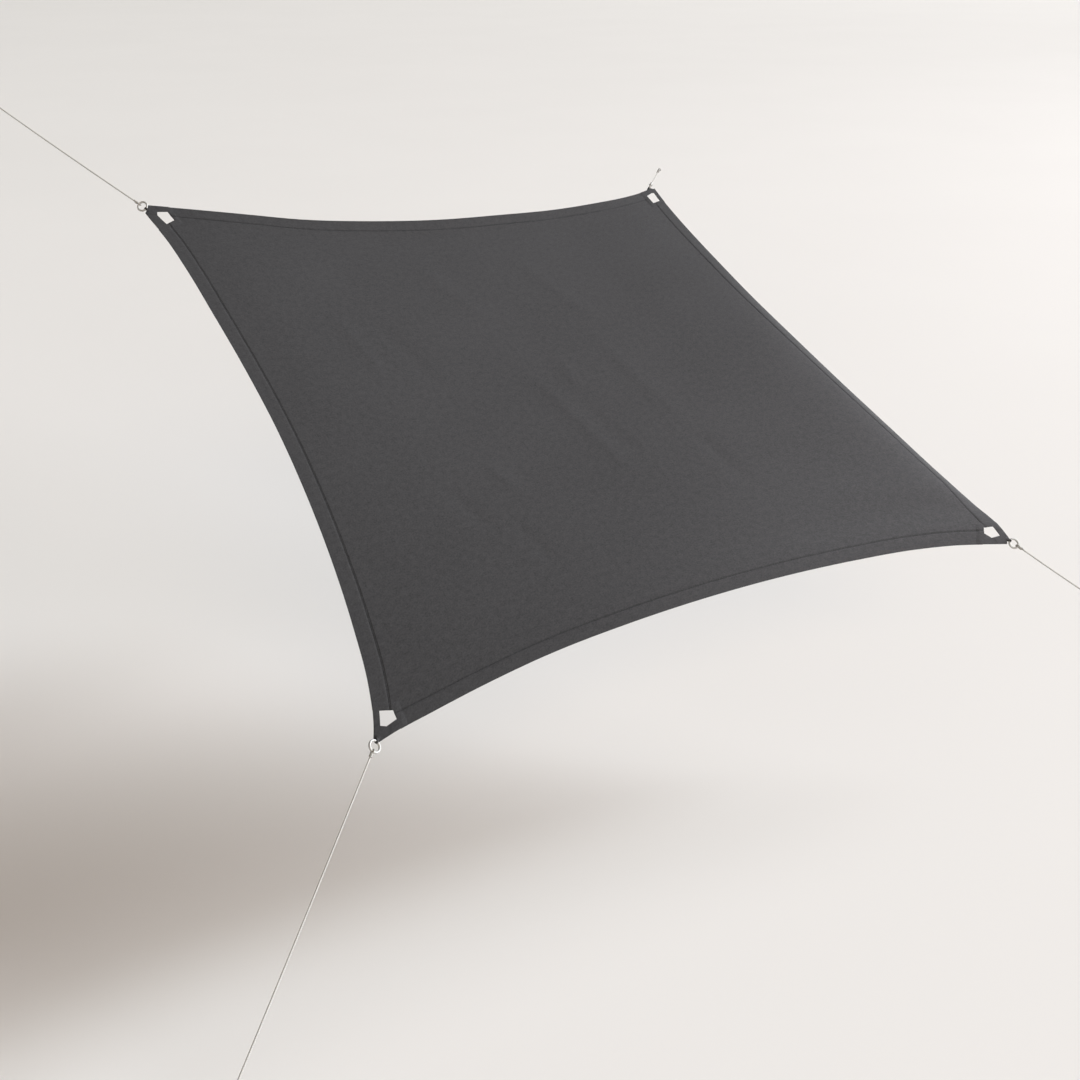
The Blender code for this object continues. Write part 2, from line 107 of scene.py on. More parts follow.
CORNERS = {
    "upper_left": Vector((-3.129, -0.243, 0.151)),
    "upper_right": Vector((-0.167, -0.176, -0.059)),
    "lower_right": Vector((-0.186, -3.021, -1.174)),
    "lower_left": Vector((-3.299, -3.021, -1.174)),
}
STATIONS = (0.03, 0.08, 0.16, 0.25, 0.375, 0.50, 0.625, 0.75, 0.84, 0.92, 0.97)
EDGES = {
    "upper": {
        "ends": ("upper_left", "upper_right"),
        "bow": (0.019, 0.052, 0.095, 0.139, 0.169, 0.179, 0.164, 0.147, 0.121, 0.083, 0.038),
        "rise": (0.0, 0.0, -0.008, -0.020, -0.028, -0.030, -0.028, -0.020, -0.008, 0.0, 0.0)},
    "right": {
        "ends": ("upper_right", "lower_right"),
        "bow": (0.014, 0.035, 0.064, 0.090, 0.112, 0.120, 0.112, 0.090, 0.064, 0.035, 0.014),
        "rise": (-0.001, 0.002, 0.011, 0.023, 0.034, 0.046, 0.049, 0.047, 0.038, 0.032, 0.028)},
    "lower": {
        "ends": ("lower_left", "lower_right"),
        "bow": (0.028, 0.061, 0.110, 0.153, 0.184, 0.195, 0.187, 0.158, 0.124, 0.073, 0.028),
        "rise": (0.0, 0.0, -0.002, -0.004, -0.005, -0.005, -0.005, -0.004, -0.002, 0.0, 0.0)},
    "left": {
        "ends": ("upper_left", "lower_left"),
        "bow": (0.018, 0.053, 0.089, 0.117, 0.149, 0.167, 0.164, 0.142, 0.112, 0.075, 0.036),
        "rise": (0.0, 0.0, -0.003, -0.008, -0.010, -0.010, -0.010, -0.008, -0.003, 0.0, 0.0)},
}
FITTINGS = {
    "upper_left": {
        "blunt": ((0.0, 0.066), (0.038, 0.0)),
        "window": ((0.059, 0.144), (0.113, 0.106), (0.111, 0.039), (0.061, 0.048), (0.049, 0.077)),
        "ring": (0.011, 0.013), "turn": -40.0, "eye": Vector((-3.592, 0.584, 0.579))},
    "upper_right": {
        "blunt": ((0.0, 0.016), (0.026, 0.0)),
        "window": ((0.029, 0.131), (0.087, 0.126), (0.096, 0.046), (0.045, 0.039), (0.028, 0.047)),
        "ring": (0.026, -0.017), "turn": -84.0, "eye": Vector((-0.0126, -0.0114, 0.0))},
    "lower_right": {
        "blunt": ((0.0, 0.026), (0.027, 0.0)),
        "window": ((0.033, 0.092), (0.082, 0.087), (0.102, 0.055), (0.082, 0.031), (0.034, 0.042)),
        "ring": (-0.007, 0.002), "turn": 5.0, "eye": Vector((0.046, -3.285, -1.374))},
    "lower_left": {
        "blunt": ((0.0, 0.026), (0.024, 0.0)),
        "window": ((0.027, 0.121), (0.084, 0.090), (0.098, 0.046), (0.055, 0.042), (0.028, 0.060)),
        "ring": (0.007, -0.005), "turn": -33.0, "eye": Vector((-4.150, -3.877, -1.562))},
}

# ---- sizes of the finer shapes

STITCH_ROWS = (0.0690, 0.0745)  # the hem's two seams, in from the cut edge
STITCH_IN = 0.0718  # midway between the seams
HEM_END = 0.0775  # the turned hem's inner edge, underneath
SEAM_DIP = 0.0013  # how far the thread pulls the cloth down
SEAM_HALF = 0.0019  # half width of that groove
SEAM_PAINTED_SHADE = 0.0042  # half width of the line of painted shade along the seams
PUCKER_REACH = 0.035
STITCH = 0.0034
STITCH_STEP = 0.0046
THREAD = 0.0009
THREAD_SIDES = 5
OVER_WINDOW = 0.003  # the hem's upper stitches end this near a window
UNDER_WINDOW = 0.010  # and its lower ones this near
HEM_LINES = (0.0, 0.0012, 0.004, 0.010, 0.021, 0.034, 0.047, 0.058, 0.0655, 0.0673, 0.0690, 0.0707,
             0.0718, 0.0728, 0.0745, 0.0762, 0.0775, 0.0786, 0.083, 0.092, 0.102, 0.114)
CLOTH_GRID = 0.0212
CLOTH_RIM = 0.0008
TRIM_REACH = 0.30

WEBBING_GRID = 0.0080
WEBBING_RIM = 0.0006
WEBBING_THIN = 0.10  # share of its thickness at its inner edges
WEBBING_TAPER = 0.016  # how far in from them it is at full thickness
WEBBING_SINK = 0.0010  # how far they are laid into the cloth
WINDOW_REACH = 0.085
WINDOW_SEAM = 0.0085  # a corner's stitches: out from the window
EDGE_SEAM = 0.009  # and in from the webbing's inner edges
TIP_HOLLOW = 0.0035  # how far the cut across a tip curves in
TIP_HOLLOW_REACH = 0.016

STRAP_LEG = 0.024
STRAP_PLAY = 0.0002
STRAP_CLOSE = 0.014  # how far behind the wire its legs lie flat
STRAP_UNTURN = 0.018  # how far behind it they have lost the ring's turn
STRAP_WAIST = 0.58  # share of its width where the wire gathers it
STRAP_NECK = 0.002
STRAP_SPREAD = 0.013

STRANDS = 3
STRAND_GROOVE = 0.25
ROPE_PITCH = 0.021
KNOT_ROPE = 0.0030
KNOT_PITCH = 0.018
KNOT_STEP = 0.0011
KNOT_GAP = 38  # degrees between the cord and the ends of its bight
BIGHT_STEPS = 32
TURN_STEPS = 20

RING_INSET = 0.00005  # how far the wire lies inside the CAD's
EYE_INSET = 0.00003
WELD_BEAD = 0.0003
WELD_AT = 1.1
WELD_HALF = 0.0016

# Soft folds of the cloth: start and end on the flat sheet, half width, height
CREASES = (
    ((0.60, 0.78), (0.66, 1.30), 0.042, 0.0021),
    ((0.78, 0.82), (0.92, 1.40), 0.045, -0.0017),
    ((1.40, 1.25), (1.58, 2.30), 0.040, 0.0019),
    ((1.56, 1.55), (1.66, 2.20), 0.042, -0.0012),
    ((1.64, 1.28), (1.62, 1.52), 0.034, 0.0020),
    ((1.93, 1.10), (2.02, 2.00), 0.045, 0.0017),
    ((2.02, 2.00), (2.06, 2.55), 0.040, -0.0018),
    ((0.62, 2.02), (0.76, 2.36), 0.040, -0.0020),
    ((0.88, 1.92), (0.98, 2.20), 0.038, 0.0020),
    ((0.84, 2.30), (0.96, 2.66), 0.040, -0.0018),
    ((1.20, 0.36), (1.42, 0.90), 0.044, 0.0016),
    ((1.78, 0.32), (2.04, 1.10), 0.050, 0.0017),
)

FLOOR_DROP = 0.79  # floor under the sail's lower edge
FLOOR_RADII = (0.0, 4.0, 10.0, 24.0, 60.0, 160.0)
STAGE_MIDDLE = Vector((-1.7, -1.6, -0.55))  # the lamps shine here

# ---- camera

lens = bpy.data.cameras.new("camera")
lens.lens = 45.0
lens.sensor_width = 36.0
lens.shift_x = -0.5 / 1080
lens.shift_y = 0.5 / 1080
lens.clip_start = 0.05
lens.clip_end = 200.0
camera = bpy.data.objects.new("camera", lens)
camera.location = (-4.794, -6.595, 1.380)
camera.rotation_euler = (radians(90.0 - 25.0), 0.0, radians(-31.083))
bpy.context.scene.collection.objects.link(camera)
bpy.context.scene.camera = camera


# ---- the sail's surface

def through(values, x):
    """A smooth curve through values at the stations, and through nothing at both ends."""
    stations = (0.0, *STATIONS, 1.0)
    values = (0.0, *values, 0.0)
    last = len(stations) - 1
    gaps = [stations[i + 1] - stations[i] for i in range(last)]
    slopes = [(values[i + 1] - values[i]) / gaps[i] for i in range(last)]
    tangents = [0.0] * (last + 1)
    for i in range(1, last):
        tangents[i] = (slopes[i - 1] * gaps[i] + slopes[i] * gaps[i - 1]) / (gaps[i - 1] + gaps[i])
    tangents[0] = 2 * slopes[0] - tangents[1]
    tangents[last] = 2 * slopes[last - 1] - tangents[last - 1]
    i = max(k for k in range(last) if x >= stations[k] or k == 0)
    u = (x - stations[i]) / gaps[i]
    return (values[i] * (1 + 2 * u) * (1 - u) ** 2 + tangents[i] * gaps[i] * u * (1 - u) ** 2
            + values[i + 1] * u * u * (3 - 2 * u) + tangents[i + 1] * gaps[i] * u * u * (u - 1))


MIDDLE = sum(CORNERS.values(), Vector()) / 4
ACROSS = CORNERS["lower_right"] - CORNERS["upper_left"]
FACE = ACROSS.cross(CORNERS["upper_right"] - CORNERS["lower_left"]).normalized()
EDGE_CACHE = {}


def edge_point(name, x):
    key = (name, round(x, 7))
    if key not in EDGE_CACHE:
        edge = EDGES[name]
        start, end = (CORNERS[corner] for corner in edge["ends"])
        chord = (end - start).normalized()
        inward = FACE.cross(chord).normalized()
        if inward.dot(MIDDLE - (start + end) / 2) < 0:
            inward.negate()
        up = chord.cross(inward)
        if up.dot(FACE) < 0:
            up.negate()
        EDGE_CACHE[key] = (start.lerp(end, x) + inward * through(edge["bow"], x)
                           + up * through(edge["rise"], x))
    return EDGE_CACHE[key]


def ease(x):
    x = min(max(x, 0.0), 1.0)
    return x * x * (3 - 2 * x)


def bell(x):
    return EULER ** (-x ** 2)


def fade(distance, start, reach):
    """Up from nothing within start, then slowly down again over reach."""
    distance = max(distance, 0.0)
    return (1 - EULER ** (-distance / start)) * EULER ** (-distance / reach)


def billow(s, t):
    sag = -CENTRE_SAG * sin(pi * s) * sin(pi * t)
    cup = -UPPER_CUP * sin(pi * s) * fade(t * SIDE_Y, UPPER_CUP_START, UPPER_CUP_REACH)
    from_right = (1 - s) * SIDE_X
    from_lower = (1 - t) * SIDE_Y
    strength = ease(t / RIGHT_ROLL_FULL) * ease(
        (from_lower - RIGHT_ROLL_QUIET) / RIGHT_ROLL_GROWTH)
    return sag + cup + RIGHT_ROLL * strength * fade(from_right, RIGHT_ROLL_START, RIGHT_ROLL_REACH)


def sail_point(s, t):
    """The sail at s across, from the left, and t down, from the upper edge."""
    flat = (CORNERS["upper_left"].lerp(CORNERS["upper_right"], s)
            .lerp(CORNERS["lower_left"].lerp(CORNERS["lower_right"], s), t))
    return (edge_point("upper", s).lerp(edge_point("lower", s), t)
            + edge_point("left", t).lerp(edge_point("right", t), s) - flat + FACE * billow(s, t))


def sail_normal(s, t):
    step = 0.004
    along = sail_point(s + step, t) - sail_point(s - step, t)
    down = sail_point(s, t + step) - sail_point(s, t - step)
    return down.cross(along).normalized()


def fractions(corner, from_side, from_end):
    """s and t of a place given by its metres from a corner's two edges."""
    s = from_side / SIDE_X
    t = from_end / SIDE_Y
    return (s if corner.endswith("left") else 1 - s, t if corner.startswith("upper") else 1 - t)


def corner_frame(corner):
    """A corner's tip, the directions of its two edges, and up."""
    reach = 0.02
    s, t = fractions(corner, 0.0, 0.0)
    tip = sail_point(s, t)
    inner_s, inner_t = fractions(corner, reach * SIDE_X, reach * SIDE_Y)
    along_end = (sail_point(inner_s, t) - tip).normalized()
    along_side = (sail_point(s, inner_t) - tip).normalized()
    up = along_end.cross(along_side).normalized()
    if up.z < 0:
        up.negate()
    return tip, along_end, along_side, up


def ring_frame(corner):
    """The middle of a ring, the way its cord pulls, and the ring's axis."""
    fitting = FITTINGS[corner]
    tip, along_end, along_side, up = corner_frame(corner)
    lift = WEBBING_LIFT + WEBBING / 2
    middle = tip + along_end * fitting["ring"][0] + along_side * fitting["ring"][1] + up * lift
    pull = (fitting["eye"] - middle).normalized()
    normal = (up - pull * up.dot(pull)).normalized()
    normal.rotate(Matrix.Rotation(radians(fitting["turn"]), 3, pull))
    return middle, pull, normal


# ---- small helpers

def add_object(name, data, material, rides=True):
    item = bpy.data.objects.new(name, data)
    bpy.context.scene.collection.objects.link(item)
    item.data.materials.append(material)
    if rides:
        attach(item, "root")
    return item


def mesh_from(name, points, faces, uvs=None):
    """A smooth mesh, whose UVs are one for each point of each face."""
    mesh = bpy.data.meshes.new(name)
    mesh.from_pydata([tuple(point) for point in points], [], faces)
    if uvs is not None:
        layer = mesh.uv_layers.new(name="flat")
        layer.data.foreach_set("uv", np.asarray(uvs, np.float32).ravel())
    mesh.shade_smooth()
    mesh.update()
    return mesh


def mesh_of(name, bm):
    mesh = bpy.data.meshes.new(name)
    bm.to_mesh(mesh)
    bm.free()
    return mesh


def face_up(bm):
    bmesh.ops.recalc_face_normals(bm, faces=bm.faces)
    if sum(face.normal.z for face in bm.faces) < 0:
        bmesh.ops.reverse_faces(bm, faces=bm.faces)


def tube(along, around):
    """Quads of a tube whose points run round it row by row, and their places on it."""
    count = len(around) - 1
    faces, places = [], []
    for row, (low, high) in enumerate(zip(along, along[1:])):
        first = row * count
        for k, (left, right) in enumerate(zip(around, around[1:])):
            n = (k + 1) % count
            faces.append((first + k, first + n, first + count + n, first + count + k))
            places += [(low, left), (low, right), (high, right), (high, left)]
    return faces, places


def axes_at(origin, z_axis, x_hint):
    z = z_axis.normalized()
    x = (x_hint - z * x_hint.dot(z)).normalized()
    axes = Matrix((x, z.cross(x), z)).transposed().to_4x4()
    return Matrix.Translation(origin) @ axes


# ---- materials

FABRIC = (0.0283, 0.0282, 0.0294)
WEAVE = 0.0016
RIBS = 0.0022
PICKS = 0.0011


def shader(name, sockets):
    made = bpy.data.materials.new(name)
    made.use_nodes = True
    surface = made.node_tree.nodes["Principled BSDF"]
    for socket, value in sockets.items():
        surface.inputs[socket].default_value = value
    return made, made.node_tree, surface


def node(tree, kind, inputs=None, **settings):
    made = tree.nodes.new("ShaderNode" + kind)
    for key, value in settings.items():
        setattr(made, key, value)
    for key, value in (inputs or {}).items():
        if isinstance(value, bpy.types.NodeSocket):
            tree.links.new(value, made.inputs[key])
        else:
            made.inputs[key].default_value = value
    return made


def math_node(tree, operation, *values, clamp=False):
    made = node(tree, "Math", operation=operation, use_clamp=clamp)
    for index, value in enumerate(values):
        if isinstance(value, bpy.types.NodeSocket):
            tree.links.new(value, made.inputs[index])
        else:
            made.inputs[index].default_value = value
    return made.outputs[0]


def scaled(tree, vector, scale):
    return node(tree, "Mapping", {"Vector": vector, "Scale": scale}).outputs[0]


def noise(tree, vector, scale, detail=3.0, rough=0.55):
    return node(tree, "TexNoise", {"Vector": vector, "Scale": scale, "Detail": detail,
                                   "Roughness": rough}).outputs["Fac"]


def bands(tree, vector, period, direction):
    """A sine wave of that period in metres."""
    return node(tree, "TexWave", {"Vector": vector, "Scale": tau / 20.0 / period},
                bands_direction=direction).outputs["Fac"]


def ramp(tree, factor, stops):
    made = node(tree, "ValToRGB", {"Fac": factor})
    elements = made.color_ramp.elements
    while len(elements) < len(stops):
        elements.new(0.5)
    for element, (at, colour) in zip(elements, stops):
        element.position = at
        element.color = (*colour, 1.0)
    return made.outputs["Color"]


def shade(colour, factor):
    return tuple(channel * factor for channel in colour)


def centred(tree, value, amount):
    """value from 0 to 1 turned into a small change about nothing."""
    return math_node(tree, "MULTIPLY", math_node(tree, "SUBTRACT", value, 0.5), amount)


def add_up(tree, values):
    total = values[0]
    for value in values[1:]:
        total = math_node(tree, "ADD", total, value)
    return total


def tone_factor(tree, values):
    return math_node(tree, "ADD", add_up(tree, values), 0.5, clamp=True)


def add_colour(tree, surface, factor, base, stops):
    """The base colour, darker or lighter as the factor runs from 0 to 1."""
    colour = ramp(tree, factor, [(at, shade(base, by)) for at, by in stops])
    tree.links.new(colour, surface.inputs["Base Color"])


def add_bump(tree, surface, height, strength, distance):
    """Relief on top of what the surface already has."""
    normal = surface.inputs["Normal"]
    inputs = {"Height": height, "Strength": strength, "Distance": distance}
    if normal.is_linked:
        inputs["Normal"] = normal.links[0].from_socket
    tree.links.new(node(tree, "Bump", inputs).outputs[0], normal)


def cloth_material():
    made, tree, surface = shader("woven_cloth", {
        "Roughness": 0.92, "Specular IOR Level": 0.16, "Sheen Weight": 0.04,
        "Sheen Roughness": 0.5, "Sheen Tint": (0.82, 0.82, 0.86, 1.0)})
    flat = node(tree, "UVMap", uv_map="flat").outputs[0]
    broad = noise(tree, flat, 1.6, 2.0)
    cloudy = noise(tree, flat, 34.0)
    heather = noise(tree, flat, 120.0, 4.0, 0.7)
    warp = noise(tree, scaled(tree, flat, (900.0, 46.0, 1.0)), 1.0, 2.0)
    weft = noise(tree, scaled(tree, flat, (46.0, 900.0, 1.0)), 1.0, 2.0)
    parts = node(tree, "SeparateXYZ", {"Vector": flat})
    # Painted shade: the cloth's colour is darker along the hem's seams, where the thread pulls in
    # a groove
    seam = math_node(tree, "MAXIMUM",
                     seam_mask(tree, parts.outputs["X"], SIDE_X, SEAM_PAINTED_SHADE, 2.0),
                     seam_mask(tree, parts.outputs["Y"], SIDE_Y, SEAM_PAINTED_SHADE, 2.0))
    factor = tone_factor(tree, [
        centred(tree, broad, 0.24), centred(tree, cloudy, 0.60), centred(tree, heather, 1.50),
        centred(tree, warp, 0.60), centred(tree, weft, 0.60),
        math_node(tree, "MULTIPLY", seam, -0.38)])
    add_colour(tree, surface, factor, FABRIC, ((0.0, 0.50), (0.5, 1.0), (1.0, 1.50)))

    over = bands(tree, flat, WEAVE, "X")
    under = bands(tree, flat, WEAVE, "Y")
    weave = math_node(tree, "MULTIPLY", math_node(tree, "SUBTRACT", over, 0.5),
                      math_node(tree, "SUBTRACT", under, 0.5))
    height = add_up(tree, [math_node(tree, "MULTIPLY", weave, 0.55), centred(tree, warp, 0.30),
                           centred(tree, weft, 0.30)])
    add_bump(tree, surface, height, 0.45, 0.0004)
    add_bump(tree, surface, seam_puckers(tree, flat), 1.0, 0.0022)
    return made


def seam_mask(tree, place, side, reach, power):
    """One on the hem's seam along two sides of the sheet, fading within reach."""
    from_edge = math_node(tree, "MINIMUM", place, math_node(tree, "SUBTRACT", side, place))
    away = math_node(tree, "ABSOLUTE", math_node(tree, "SUBTRACT", from_edge, STITCH_IN))
    steep = math_node(tree, "POWER", math_node(tree, "DIVIDE", away, reach), power)
    return math_node(tree, "POWER", EULER, math_node(tree, "MULTIPLY", steep, -1.0))


def seam_puckers(tree, flat):
    """Short waves that run in from the hem's seam and die out, from the pull of its thread."""
    parts = node(tree, "SeparateXYZ", {"Vector": flat})
    puckers = []
    for axis, side, stretch in (("X", SIDE_X, (3.0, 30.0, 1.0)), ("Y", SIDE_Y, (30.0, 3.0, 1.0))):
        mask = seam_mask(tree, parts.outputs[axis], side, PUCKER_REACH, 1.0)
        waves = noise(tree, scaled(tree, flat, stretch), 1.0, 2.0)
        waves = math_node(tree, "SUBTRACT", waves, 0.5)
        puckers.append(math_node(tree, "MULTIPLY", mask, waves))
    return add_up(tree, puckers)


def webbing_material():
    made, tree, surface = shader("woven_webbing", {
        "Roughness": 0.88, "Specular IOR Level": 0.20, "Sheen Weight": 0.04,
        "Sheen Roughness": 0.5, "Sheen Tint": (0.8, 0.8, 0.84, 1.0)})
    flat = node(tree, "UVMap", uv_map="flat").outputs[0]
    ribs = bands(tree, flat, RIBS, "Y")
    picks = bands(tree, flat, PICKS, "X")
    heather = noise(tree, flat, 420.0)
    factor = tone_factor(tree, [centred(tree, ribs, 0.35), centred(tree, picks, 0.25),
                                centred(tree, heather, 0.5)])
    add_colour(tree, surface, factor, FABRIC, ((0.0, 0.6), (0.5, 1.0), (1.0, 1.5)))
    height = math_node(tree, "ADD", ribs, math_node(tree, "MULTIPLY", picks, 0.5))
    add_bump(tree, surface, height, 0.5, 0.0004)
    return made


def steel_material(name, base, roughness, brushed, metallic):
    made, tree, surface = shader(name, {"Metallic": metallic})
    place = node(tree, "TexCoord").outputs["Object"]
    smudge = noise(tree, place, 90.0)
    scratch = noise(tree, scaled(tree, place, (2600.0, 260.0, 260.0)), 1.0, 2.0)
    rough = add_up(tree, [centred(tree, smudge, 0.10), centred(tree, scratch, brushed)])
    tree.links.new(math_node(tree, "ADD", rough, roughness), surface.inputs["Roughness"])
    add_colour(tree, surface, smudge, base, ((0.3, 0.93), (0.7, 1.0)))
    add_bump(tree, surface, scratch, 0.10 + brushed, 0.0001)
    return made


def cord_material(name, base):
    made, tree, surface = shader(name, {
        "Roughness": 0.62, "Specular IOR Level": 0.35, "Sheen Weight": 0.2})
    flat = node(tree, "UVMap", uv_map="flat").outputs[0]
    fibres = noise(tree, scaled(tree, flat, (5200.0, 330.0, 1.0)), 1.0)
    wear = noise(tree, scaled(tree, flat, (120.0, 120.0, 1.0)), 1.0)
    factor = tone_factor(tree, [centred(tree, fibres, 0.7), centred(tree, wear, 0.4)])
    add_colour(tree, surface, factor, base, ((0.0, 0.72), (0.5, 1.0), (1.0, 1.15)))
    add_bump(tree, surface, fibres, 0.4, 0.0003)
    return made


def thread_material(name, base):
    made, tree, surface = shader(name, {"Roughness": 0.7, "Specular IOR Level": 0.3})
    place = node(tree, "TexCoord").outputs["Object"]
    ply = noise(tree, place, 2400.0, 1.0)
    add_colour(tree, surface, ply, base, ((0.3, 0.7), (0.7, 1.4)))
    return made


CLOTH_LOOK = cloth_material()
WEBBING_LOOK = webbing_material()
RING_LOOK = steel_material("polished_steel", (0.44, 0.44, 0.43), 0.62, 0.04, 0.60)
EYE_LOOK = steel_material("satin_steel", (0.36, 0.36, 0.355), 0.38, 0.10, 1.0)
CORD_LOOK = cord_material("twisted_cord", (0.40, 0.395, 0.375))
# The knots are the same cord, painted darker as painted shade between their turns
KNOT_SHADED_LOOK = cord_material("knotted_cord_painted_shade", (0.31, 0.306, 0.290))
THREAD_LOOK = thread_material("sewing_thread", (0.0085, 0.0085, 0.0092))
CORNER_THREAD_LOOK = thread_material("corner_thread", (0.0285, 0.0277, 0.0293))


# ---- ropes

def resample(path, step):
    """Even points along a path, and their distances along it."""
    path = np.asarray(path, float)
    along = np.concatenate([[0], np.cumsum(np.linalg.norm(np.diff(path, axis=0), axis=1))])
    count = max(2, round(along[-1] / step) + 1)
    at = np.linspace(0.0, along[-1], count)
    return np.stack([np.interp(at, along, path[:, k]) for k in range(3)], axis=1), at


def across_frames(line):
    """Two directions across a line at each of its points, which don't spin along it."""
    tangents = np.gradient(line, axis=0)
    tangents /= np.linalg.norm(tangents, axis=1)[:, None]
    hint = (0.0, 0.0, 1.0) if abs(tangents[0][2]) < 0.9 else (1.0, 0.0, 0.0)
    across = np.cross(tangents[0], hint)
    sides = [across / np.linalg.norm(across)]
    for tangent in tangents[1:]:
        side = sides[-1] - tangent * (sides[-1] @ tangent)
        sides.append(side / np.linalg.norm(side))
    sides = np.array(sides)
    return sides, np.cross(tangents, sides)


def rope_mesh(name, path, radius, pitch, step, around):
    """A closed tube of twisted strands along a path. Its UV is around and along, in metres."""
    line, along = resample(path, step)
    side, other = across_frames(line)
    theta = np.arange(around) * tau / around
    lobe = (theta + pi / STRANDS) % (tau / STRANDS) - pi / STRANDS
    reach = radius * (1.0 - STRAND_GROOVE * (1.0 - np.cos(lobe * STRANDS / 2)))
    twist = along[:, None] * tau / pitch + theta[None, :]
    rings = (line[:, None, :] + reach[None, :, None]
             * (np.cos(twist)[..., None] * side[:, None, :]
                + np.sin(twist)[..., None] * other[:, None, :]))
    points = np.concatenate([rings.reshape(-1, 3), line[:1], line[-1:]])
    width = tau * radius / around
    faces, places = tube(along, [k * width for k in range(around + 1)])
    uvs = [(across, on) for on, across in places]
    last = len(points) - 1
    first, base = last - 1, last - 1 - around
    for k in range(around):
        n = (k + 1) % around
        faces.append((first, n, k))
        faces.append((last, base + k, base + n))
        uvs += [(0.0, 0.0), ((k + 1) * width, 0.0), (k * width, 0.0)]
        uvs += [(0.0, along[-1]), (k * width, along[-1]), ((k + 1) * width, along[-1])]
    return mesh_from(name, points, faces, uvs)


def cord_route(corner):
    """The cord's line between its two knots, as in the CAD source."""
    middle, pull, _ = ring_frame(corner)
    eye = FITTINGS[corner]["eye"]
    body = TURNS * TURN_PITCH - BODY_OVERLAP + PIECE_GAP
    start = middle + pull * (RING_RADIUS + RING_BIGHT + body)
    end = eye - pull * (EYE_RADIUS + EYE_BIGHT + body)
    length = (end - start).length
    steps = round(length / CORD_STEP)
    sag = CORD_SAG * length
    route = []
    for i in range(steps + 1):
        x = i / steps
        route.append(start.lerp(end, x) - Vector((0.0, 0.0, 4 * sag * x * (1 - x))))
    return route, length


def knot_path(bight_radius):
    """One rope: down the middle of the knot, round the wire, back up in turns, and a free end.
    Z runs along the cord, away from the wire, and Y along the wire."""
    base = bight_radius - BODY_OVERLAP
    top = base + TURNS * TURN_PITCH
    coil = TURN_RADIUS - KNOT_ROPE
    points = [(0.0, 0.0, top + 0.0002), (0.0, 0.0, base + 0.010), (0.0006, 0.0, base + 0.005)]
    for i in range(BIGHT_STEPS + 1):
        angle = radians(KNOT_GAP + (360 - 2 * KNOT_GAP) * i / BIGHT_STEPS)
        points.append((bight_radius * sin(angle), 0.0, bight_radius * cos(angle)))
    lower, upper = base + KNOT_ROPE * 0.9, top - KNOT_ROPE
    for i in range(TURNS * TURN_STEPS + 1):
        angle = pi + tau * i / TURN_STEPS
        points.append((coil * cos(angle), coil * sin(angle),
                       lower + (upper - lower) * i / (TURNS * TURN_STEPS)))
    x, y, z = points[-1]
    points += [(x * 1.15, y - 0.0015, z + 0.0015), (x * 1.3, y - 0.002, z + 0.004),
               (x * 1.35, y - 0.002, z + 0.0065)]
    line, _ = resample(points, 0.0008)
    for _ in range(6):
        line[1:-1] = line[1:-1] * 0.5 + (line[:-2] + line[2:]) * 0.25
    return line


def build_knot(end, corner, wire_middle, wire_axis, pull, bight_radius):
    name = "knot_at_" + end + "_" + corner
    mesh = rope_mesh(name, knot_path(bight_radius), KNOT_ROPE, KNOT_PITCH, KNOT_STEP, around=15)
    mesh.transform(axes_at(wire_middle, pull, wire_axis.cross(pull)))
    item = add_object(name, mesh, KNOT_SHADED_LOOK)
    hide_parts("knot_" + end + "_" + corner)
    return item


# ---- steel

def torus_mesh(name, major, minor, around=96, across=24, bead=0.0):
    """A ring of wire, with a low weld bead at the side."""
    points, faces, uvs = [], [], []
    for i in range(around):
        a = tau * i / around
        away = min(abs(a - WELD_AT), tau - abs(a - WELD_AT)) * major
        wire = minor + bead * bell(away / WELD_HALF)
        for k in range(across):
            b = tau * k / across
            points.append(((major + wire * cos(b)) * cos(a), (major + wire * cos(b)) * sin(a),
                           wire * sin(b)))
    for i in range(around):
        j = (i + 1) % around
        for k in range(across):
            n = (k + 1) % across
            faces.append((i * across + k, j * across + k, j * across + n, i * across + n))
            u0, u1 = tau * major * i / around, tau * major * (i + 1) / around
            v0, v1 = tau * minor * k / across, tau * minor * (k + 1) / across
            uvs += [(u0, v0), (u1, v0), (u1, v1), (u0, v1)]
    return mesh_from(name, points, faces, uvs)


def lathe_into(bm, profile, segments, matrix):
    """Turn a half outline of (radius, height) about Z and add it to a bmesh."""
    rows = []
    for radius, height in profile:
        angles = [tau * k / segments for k in range(segments if radius else 1)]
        rows.append([bm.verts.new(matrix @ Vector((radius * cos(a), radius * sin(a), height)))
                     for a in angles])
    for low, high in zip(rows, rows[1:]):
        for k in range(segments):
            n = (k + 1) % segments
            quad = (low[k % len(low)], low[n % len(low)],
                    high[n % len(high)], high[k % len(high)])
            face = list(dict.fromkeys(quad))
            if len(face) > 2:
                bm.faces.new(face)


def build_ring(corner):
    middle, pull, normal = ring_frame(corner)
    name = "ring_steel_" + corner
    mesh = torus_mesh(name, RING_RADIUS, RING_WIRE / 2 - RING_INSET, bead=WELD_BEAD)
    mesh.transform(axes_at(middle, normal, pull))
    item = add_object(name, mesh, RING_LOOK)
    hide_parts("ring_" + corner)


def eye_frame(corner):
    """The middle of a wall eye, the way into the wall, and the eye's axis."""
    pull = ring_frame(corner)[1]
    heading = Vector((pull.x, pull.y, 0.0)).normalized()
    return FITTINGS[corner]["eye"], heading, heading.cross(Vector((0.0, 0.0, 1.0)))


